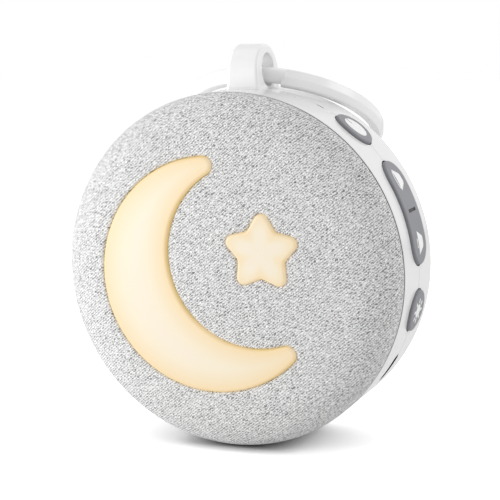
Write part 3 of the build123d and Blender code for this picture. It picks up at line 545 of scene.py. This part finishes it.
# ---- cloth skin ----
WINDOW_GAP = 0.1 * MM  # window to the cloth round it
SKIN_STEP = 1.15 * MM  # spacing of the cloth's points
SKIN_THICKNESS = 0.45 * MM
PROFILE_POINTS = 90
SPAN_SAMPLES = 200  # points worked out on each span of the dome's curve
HEM = (  # steps in behind the edge, each as (inwards, forwards of the rim)
    (0.0, 0.62 * MM),
    (0.02 * MM, 0.42 * MM),
    (0.04 * MM, 0.22 * MM),
    (0.06 * MM, 0.04 * MM),
)
LIP_RINGS = (0.0, 0.12 * MM, 0.3 * MM, 0.6 * MM, 1.1 * MM)  # rows of points round each window
LIP_DROP = 0.55 * MM  # how far the cloth dips at a window's edge
LIP_WIDTH = 0.8 * MM


def dome_profile():
    """The domed front, middle to edge: run along it, and points as (radius, depth from the seam)."""
    shoulder = BODY_RADIUS - EDGE_ROUND
    rise = CAP_DEPTH - CROWN_RISE
    knots = np.array([
        (0.0, RIM_FRONT + CAP_DEPTH),
        (shoulder, RIM_FRONT + rise),
        (shoulder + EDGE_ROUND * cos(pi / 4), RIM_FRONT + rise * sin(pi / 4)),
        (BODY_RADIUS, RIM_FRONT),
    ])
    chord = np.linalg.norm(np.diff(knots, axis=0), axis=1)
    slope = np.diff(knots, axis=0) / chord[:, None]
    first, last = np.array([1.0, 0.0]), np.array([0.0, -1.0])
    matrix = np.array([
        [2 * (chord[0] + chord[1]), chord[0]],
        [chord[2], 2 * (chord[1] + chord[2])],
    ])
    wanted = np.array([
        3 * (chord[1] * slope[0] + chord[0] * slope[1]) - chord[1] * first,
        3 * (chord[2] * slope[1] + chord[1] * slope[2]) - chord[1] * last,
    ])
    tangents = [first, *np.linalg.solve(matrix, wanted), last]
    points = []
    for span in range(3):
        for t in np.linspace(0, 1, SPAN_SAMPLES, endpoint=span == 2):
            points.append(
                (2 * t**3 - 3 * t**2 + 1) * knots[span]
                + (t**3 - 2 * t**2 + t) * chord[span] * tangents[span]
                + (3 * t**2 - 2 * t**3) * knots[span + 1]
                + (t**3 - t**2) * chord[span] * tangents[span + 1]
            )
    points = np.array(points)
    run = np.concatenate([[0], np.cumsum(np.linalg.norm(np.diff(points, axis=0), axis=1))])
    even = np.linspace(0, run[-1], PROFILE_POINTS)
    return even, np.stack([np.interp(even, run, points[:, axis]) for axis in range(2)], 1)


def moved(points, old, new):
    """Points moved in or out from the middle, from the distances in old to those in new."""
    distance = np.linalg.norm(points, axis=1)
    return points * (np.interp(distance, old, new) / np.maximum(distance, 1e-9))[:, None]


def cloth_rows(edge_run):
    """Points in rows round the middle of the flat cloth."""
    rows = int(edge_run / SKIN_STEP)
    points = []
    for row in range(rows + 1):
        distance = edge_run * row / rows
        count = max(1, int(2 * pi * distance / SKIN_STEP))
        for step in range(count):
            turn = 2 * pi * (step + 0.5 * (row % 2)) / count
            points.append((distance * cos(turn), distance * sin(turn)))
    return np.array(points)


def window_lips(windows):
    """Rings of points round each window, as seen from the front, and the edges that close them."""
    points, edges = [], []
    for window in windows:
        for ring in LIP_RINGS:
            edges += ring_edges(len(points), len(window))
            points += grown(window, ring)
    return np.array(points), edges


def flat_cut(windows, run, radius):
    """The flat cloth with its windows cut out, as (places, faces)."""
    lips, edges = window_lips(windows)
    rows = cloth_rows(run[-1])
    rows_front = moved(rows, run, radius)
    keep = np.ones(len(rows), bool)
    for window in windows:
        lip = grown(window, LIP_RINGS[-1])
        keep &= ~inside(rows_front, lip) & (nearest(rows_front, lip) > CLEAR_OF_EDGE * SKIN_STEP)
    places, faces = filled(np.concatenate([moved(lips, radius, run), rows[keep]]), edges)
    middles = face_middles(moved(places, run, radius), faces)
    gone = np.any([inside(middles, window) for window in windows], axis=0)
    return places, [face for face, drop in zip(faces, gone) if not drop]


def window_dip(front, windows):
    """How far the cloth dips at each point, near the windows' edges."""
    away = np.min([nearest(front, window) for window in windows], axis=0)
    return LIP_DROP * np.clip(1 - away / LIP_WIDTH, 0, 1) ** 2


def point_normals_out(piece):
    """Makes a mesh's normals point outwards."""
    bpy.context.view_layer.objects.active = piece
    bpy.ops.object.mode_set(mode="EDIT")
    bpy.ops.mesh.select_all(action="SELECT")
    bpy.ops.mesh.normals_make_consistent(inside=False)
    bpy.ops.object.mode_set(mode="OBJECT")


def cloth_skin():
    """The cloth: one sheet over the dome, dipping in at the windows and tucked behind its edge."""
    run, profile = dome_profile()
    edge_run, radius = run[-1], profile[:, 0]
    windows = [grown(outline(), WINDOW_GAP) for outline in (moon_outline, star_outline)]
    flat, faces = flat_cut(windows, run, radius)
    front = moved(flat, run, radius)
    distance = np.linalg.norm(flat, axis=1)
    depth = np.interp(distance, run, profile[:, 1]) - window_dip(front, windows)
    vertices = [Vector((x, -forward, up + AXIS_HEIGHT)) for (x, up), forward in zip(front, depth)]
    weave = [tuple(p) for p in flat]

    # the hem turns in behind the edge, which leaves a groove between the cloth and the white rim
    rim = [i for i, r in enumerate(distance) if r > edge_run - 1e-7]
    rim.sort(key=lambda i: atan2(flat[i][1], flat[i][0]))
    for index in rim:
        vertices[index].y = -(RIM_FRONT + HEM[0][1])
    previous = rim
    tuck = 0.0
    for before, (inward, forward) in zip(HEM, HEM[1:]):
        tuck += hypot(inward - before[0], forward - before[1])
        shrink = 1 - inward / BODY_RADIUS
        current = list(range(len(vertices), len(vertices) + len(rim)))
        for index in rim:
            x, up = front[index] * shrink
            vertices.append(Vector((x, -(RIM_FRONT + forward), up + AXIS_HEIGHT)))
            weave.append(tuple(flat[index] * (1 + tuck / edge_run)))
        for i, j in ring_edges(0, len(rim)):
            faces.append((previous[i], previous[j], current[j], current[i]))
        previous = current

    skin = mesh_object("cloth_skin", vertices, faces, cloth_material(edge_run))
    layer = skin.data.uv_layers.new(name="weave")
    for loop in skin.data.loops:
        layer.data[loop.index].uv = weave[loop.vertex_index]
    point_normals_out(skin)
    thicken(skin, "thickness", SKIN_THICKNESS)
    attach(skin, "body")
    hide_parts("fabric_cover")


# ---- printed signs on the keys, and a painted shade in the rocker's groove: outlines run clockwise along the rim, then across it to the back ----
SIGN_LIFT = 0.03 * MM
SIGN_STEP = 0.35 * MM  # spacing of the points that fill a sign
SUN_POINTS = 48
SUN_DISC = 1.95 * MM
SUN_RAYS = 8
SUN_RAY_START = (2.3 * MM, 0.5 * MM)  # distance from the middle and half width
SUN_RAY_TIP = (3.6 * MM, 0.36 * MM)
POWER_POINTS = 60
POWER_DISC = 3.75 * MM
POWER_SLOT = (2.3 * MM, 0.24 * MM)  # depth and half width
HORN_SIDE = ((3.3, -1.6), (2.75, -0.3), (2.25, 0.7), (1.9, 1.5), (1.6, 2.2), (1.0, 2.7))  # in mm
STROKE_POINTS = 16
SOUND_RADIUS = 5.2 * MM
SOUND_WIDTH = 0.5 * MM
SOUND_PLACE = -2.3 * MM
LOUDER_STROKE = 5.6 * MM
SOFTER_STROKE = 2.8 * MM
ROCKER_SIGN = 9.2 * MM  # from the rocker's middle to each of its signs
GROOVE_DEPTH = 0.3 * MM
ROCKER_GROOVE_SHADE = (0.84 * MM, 6.3 * MM)  # painted shade on the floor of the rocker's groove: along the rim, across it
INK_CLOUD = 900.0
INK_GLOSS_CLOUD = 500.0


def on_key(along, across, angle, lift):
    """A point on a key's curved face: along the rim clockwise, and across it to the back."""
    turned = radians(angle) + along / KEY_RADIUS
    outward = Vector((sin(turned), 0.0, cos(turned)))
    return outward * (KEY_RADIUS + lift) + Vector((0.0, across, AXIS_HEIGHT))


def fine_fill(outlines):
    """Triangles filling closed outlines, by the even-odd rule, as (places, faces)."""
    points, edges = [], []
    for outline in outlines:
        edges += ring_edges(len(points), len(outline))
        points += [np.array(p) for p in outline]
    low, high = np.min(points, axis=0), np.max(points, axis=0)
    columns, rows = [np.arange(low[axis], high[axis], SIGN_STEP) for axis in range(2)]
    grid = np.array([(x, y) for x in columns for y in rows])
    away = np.min([nearest(grid, outline) for outline in outlines], axis=0)
    points += list(grid[away > CLEAR_OF_EDGE * SIGN_STEP])
    places, faces = filled(points, edges)
    middles = face_middles(places, faces)
    layers = np.sum([inside(middles, outline) for outline in outlines], axis=0)
    return places, [face for face, count in zip(faces, layers) if count % 2 == 1]


def sheet_on_key(name, outlines, key, angle, material, along=0.0, lift=SIGN_LIFT):
    """A thin sheet laid on a key's curved face, moved along the rim where asked: a printed sign, and in the
    rocker's groove a painted shade.
    """
    places, faces = fine_fill(outlines)
    vertices = [on_key(p[0] + along, p[1], angle, lift) for p in places]
    sign = mesh_object(name, vertices, faces, material)
    thicken(sign, "ink", 2 * SIGN_LIFT)
    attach(sign, key)


def sun_outlines():
    """Disc with rays."""
    outlines = [arc((0.0, 0.0), SUN_DISC, 0, 2 * pi, SUN_POINTS)]
    (base, base_half), (tip, tip_half) = SUN_RAY_START, SUN_RAY_TIP
    for ray in range(SUN_RAYS):
        turn = 2 * pi * ray / SUN_RAYS
        way, side = np.array([cos(turn), sin(turn)]), np.array([-sin(turn), cos(turn)])
        outlines.append([
            way * base - side * base_half,
            way * tip - side * tip_half,
            way * tip + side * tip_half,
            way * base + side * base_half,
        ])
    return outlines


def power_outlines():
    """Disc with a narrow slot cut in from its edge."""
    slot_depth, half_slot = POWER_SLOT
    edge = atan2(half_slot, POWER_DISC)
    around = arc((0.0, 0.0), POWER_DISC, pi + edge, 3 * pi - edge, POWER_POINTS)
    slot_end = slot_depth - POWER_DISC
    slot = [(-POWER_DISC, half_slot), (slot_end, half_slot), (slot_end, -half_slot)]
    return [around + [np.array(p) for p in slot]]


def speaker_outlines(stroke):
    """Loudspeaker sign, its mouth towards the front, with one curved stroke of sound."""
    horn = [*HORN_SIDE, *[(-x, y) for x, y in reversed(HORN_SIDE)]]
    centre = (0.0, SOUND_PLACE + SOUND_RADIUS)
    half = stroke / SOUND_RADIUS / 2
    inner = arc(centre, SOUND_RADIUS, -pi / 2 + half, -pi / 2 - half, STROKE_POINTS)
    outer = arc(centre, SOUND_RADIUS + SOUND_WIDTH, -pi / 2 - half, -pi / 2 + half, STROKE_POINTS)
    return [[np.array(p) * MM for p in horn], inner + outer]


def groove_shade_outlines():
    """The dark sheet of painted shade on the floor of the rocker's groove."""
    x, y = ROCKER_GROOVE_SHADE[0] / 2, ROCKER_GROOVE_SHADE[1] / 2
    return [[np.array(p) for p in ((-x, -y), (x, -y), (x, y), (-x, y))]]


def ink_material():
    """White printing ink, slightly patchy."""
    graph = material_graph("printed_white")
    graph.shader(
        Base_Color=graph.mix(graph.noise(INK_CLOUD, 3.0), grey(0.92), grey(0.98)),
        Roughness=graph.spread(graph.noise(INK_GLOSS_CLOUD), 0.35, 0.55),
    )
    return graph.owner


# ---- studio ----
WORLD_LEVEL = 0.58
FLOOR_HALF = 1.5
PAPER_CLOUD = 9.0
FLOOR_WHITE = 1.8  # floor colour that the camera sees, so that the lit floor is pure white
MIRRORED_WHITE = 1.0  # floor colour that shows in reflections
PAINTED_CONTACT_SHADOW = ((30.0 * MM, 0.3), (4.0 * MM, 0.4))  # reach and depth of the painted contact shadow, darker where the object is near the floor
LAMPS = (  # name, place, width, watts
    ("key", (-0.30, -0.24, 0.08), 0.22, 1.04),
    ("side", (0.55, 0.10, 0.35), 0.40, 1.05),
    ("top", (-0.05, 0.05, 0.60), 0.45, 0.26),
    ("back", (0.05, 0.40, 0.55), 0.35, 0.14),
)


def soft_lamp(name, place, width, watts):
    """A soft square lamp aimed at the middle of the body."""
    data = bpy.data.lights.new(name, "AREA")
    data.shape = "SQUARE"
    data.size = width
    data.energy = watts
    lamp = bpy.data.objects.new(name, data)
    bpy.context.scene.collection.objects.link(lamp)
    lamp.location = place
    way = Vector((0.0, 0.0, AXIS_HEIGHT)) - Vector(place)
    lamp.rotation_euler = way.to_track_quat("-Z", "Y").to_euler()


def mirrored(graph, rays):
    """1 for the rays that show the studio in gloss or through glass."""
    return graph.math("MAXIMUM", rays["Is Glossy Ray"], rays["Is Transmission Ray"])


def studio_floor():
    """Pale floor, pure white to the camera except where the object shades it, with a painted contact shadow
    where the object is near.
    """
    graph = material_graph("studio_floor")
    paper = graph.mix(graph.noise(PAPER_CLOUD), grey(0.8), grey(0.83))
    rays = graph.node("ShaderNodeLightPath").outputs
    reflected_paper = graph.mix(mirrored(graph, rays), paper, grey(MIRRORED_WHITE))
    seen_level_with_painted_shadow = FLOOR_WHITE
    # painted contact shadow: ambient occlusion darkens the floor colour the camera sees
    for reach, depth in PAINTED_CONTACT_SHADOW:
        openness = graph.node("ShaderNodeAmbientOcclusion", {"samples": 16}, Distance=reach)
        seen_level_with_painted_shadow = graph.times(seen_level_with_painted_shadow, graph.math("POWER", openness.outputs["AO"], depth))
    seen_paper = graph.neutral(seen_level_with_painted_shadow)
    graph.shader(
        Base_Color=graph.mix(rays["Is Camera Ray"], reflected_paper, seen_paper),
        Roughness=0.85,
    )
    corners = [(x * FLOOR_HALF, y * FLOOR_HALF, 0.0) for x, y in ((-1, -1), (1, -1), (1, 1), (-1, 1))]
    mesh_object("floor", corners, [(0, 1, 2, 3)], graph.owner)


def studio_world():
    """Even light from all round, plain white to the camera, in gloss and through glass."""
    world = bpy.data.worlds.new("studio")
    bpy.context.scene.world = world
    graph = Graph(world, "ShaderNodeOutputWorld")
    rays = graph.node("ShaderNodeLightPath").outputs
    seen = graph.math("MAXIMUM", rays["Is Camera Ray"], mirrored(graph, rays))
    choose = graph.node("ShaderNodeMixShader", Fac=seen)
    for socket, strength in zip(choose.inputs[1:], (WORLD_LEVEL, 1.0)):
        background = graph.node("ShaderNodeBackground", Color=grey(1.0), Strength=strength)
        graph.feed(socket, background.outputs[0])
    graph.feed(graph.surface, choose.outputs[0])


def camera():
    """Camera on the front's right: turned, tipped and rolled a little."""
    yaw, pitch, roll = radians(CAMERA_YAW), radians(CAMERA_PITCH), radians(CAMERA_ROLL)
    back = Vector((sin(yaw) * cos(pitch), -cos(yaw) * cos(pitch), sin(pitch)))
    right = Vector((cos(yaw), sin(yaw), 0.0))
    up = back.cross(right)
    right_rolled = cos(roll) * right + sin(roll) * up
    up_rolled = -sin(roll) * right + cos(roll) * up
    place = VIEW_ORIGIN + right * TARGET_RIGHT + up * TARGET_UP + back * CAMERA_DISTANCE
    data = bpy.data.cameras.new("camera")
    data.sensor_width = 36.0
    data.lens = CAMERA_LENS
    data.clip_start = 0.01
    data.clip_end = 10.0
    made = bpy.data.objects.new("camera", data)
    bpy.context.scene.collection.objects.link(made)
    made.matrix_world = Matrix((
        (right_rolled.x, up_rolled.x, back.x, place.x),
        (right_rolled.y, up_rolled.y, back.y, place.y),
        (right_rolled.z, up_rolled.z, back.z, place.z),
        (0.0, 0.0, 0.0, 1.0),
    ))
    bpy.context.scene.camera = made


# ---- dressing the frame ----
CRISP_EDGE = 28.0  # degrees above which an edge stays sharp


def dress(material, *names):
    """Gives CAD nodes a material and smooth shading with crisp edges."""
    for name in names:
        node = nodes[name]
        node.data.materials.clear()
        node.data.materials.append(material)
        node.data.shade_smooth()
        node.data.set_sharp_from_angle(angle=radians(CRISP_EDGE))


# the housing carries painted shade in the socket's mouth
white = moulded("white_shell", 0.84, 0.87, 0.2, coat=0.35, painted_shade_mask=socket_shade_mask)
dress(white, "front_housing", "rear_housing")
dress(moulded("ring_plastic", 0.89, 0.93, 0.25, coat=0.3), "carry_ring", "hanging_lug")
dress(moulded("inner_plastic", 0.78, 0.84, 0.45), "front_grille", "light_tray")
key_grey = moulded("key_grey", 0.25, 0.28, 0.5, grain=0.04, cast=(0.97, 0.98, 1.05))
dress(key_grey, "power_button", "volume_rocker", "light_button")
dress(moulded("lamp_board", 0.78, 0.84, 0.4), "moon_led_board", "star_led_board")
dress(moulded("lamp_yellow", 0.8, 0.9, 0.3, cast=(1.0, 0.85, 0.35)), "leds")
dress(moulded("board_green", 0.14, 0.2, 0.35, cast=(0.2, 1.0, 0.45)), "main_board")
dress(moulded("chip_black", 0.02, 0.035, 0.4), "main_chip", "tact_switches", "status_lens")
dress(socket_dark_and_painted_shade(), "usb_c_shell", "usb_c_tongue")
dress(moulded("paper_black", 0.06, 0.1, 0.8, grain=0.06), "speaker_cone", "dust_cap", "speaker_frame")
dress(moulded("battery_film", 0.3, 0.36, 0.3, cast=(0.55, 0.8, 1.0)), "battery")
dress(rubbery("black_foam", 0.03, 0.85), "speaker_gasket", "speaker_surround")
dress(rubbery("rear_rubber", 0.62), "rear_feet")
dress(rubbery("foot_rubber", 0.06, 0.8), "foot_pad")
steel = metal("zinc_steel", (0.62, 0.62, 0.61), 0.3)
dress(steel, "housing_screws", "board_screws", "speaker_screws", "rocker_pin")
dress(metal("zinc_pot", (0.5, 0.5, 0.48), 0.35), "speaker_yoke")
dress(metal("magnet_grey", (0.2, 0.2, 0.21), 0.55), "speaker_magnet")
dress(metal("copper_wire", (0.75, 0.4, 0.24), 0.3), "voice_coil")
dress(window_material("moon_glow", moon_depth, MOON_FADE), "moon_lens")
dress(window_material("star_glow", star_depth, STAR_FADE), "star_lens")

cloth_skin()

ink = ink_material()
sheet_on_key("power_sign", power_outlines(), "power_button", POWER_ANGLE, ink)
sheet_on_key("sun_sign", sun_outlines(), "light_button", LIGHT_ANGLE, ink)
louder, softer = speaker_outlines(LOUDER_STROKE), speaker_outlines(SOFTER_STROKE)
sheet_on_key("louder_sign", louder, "volume_rocker", ROCKER_ANGLE, ink, along=-ROCKER_SIGN)
sheet_on_key("softer_sign", softer, "volume_rocker", ROCKER_ANGLE, ink, along=ROCKER_SIGN)
# painted shade: a dark sheet on the floor of the rocker's groove, where shade falls
sheet_on_key(
    "rocker_groove_painted_shade",
    groove_shade_outlines(),
    "volume_rocker",
    ROCKER_ANGLE,
    moulded("groove_painted_shade", 0.05, 0.07, 0.6),
    lift=SIGN_LIFT - GROOVE_DEPTH,
)

studio_floor()
studio_world()
for lamp in LAMPS:
    soft_lamp(*lamp)
camera()
bpy.context.scene.view_settings.view_transform = "Standard"
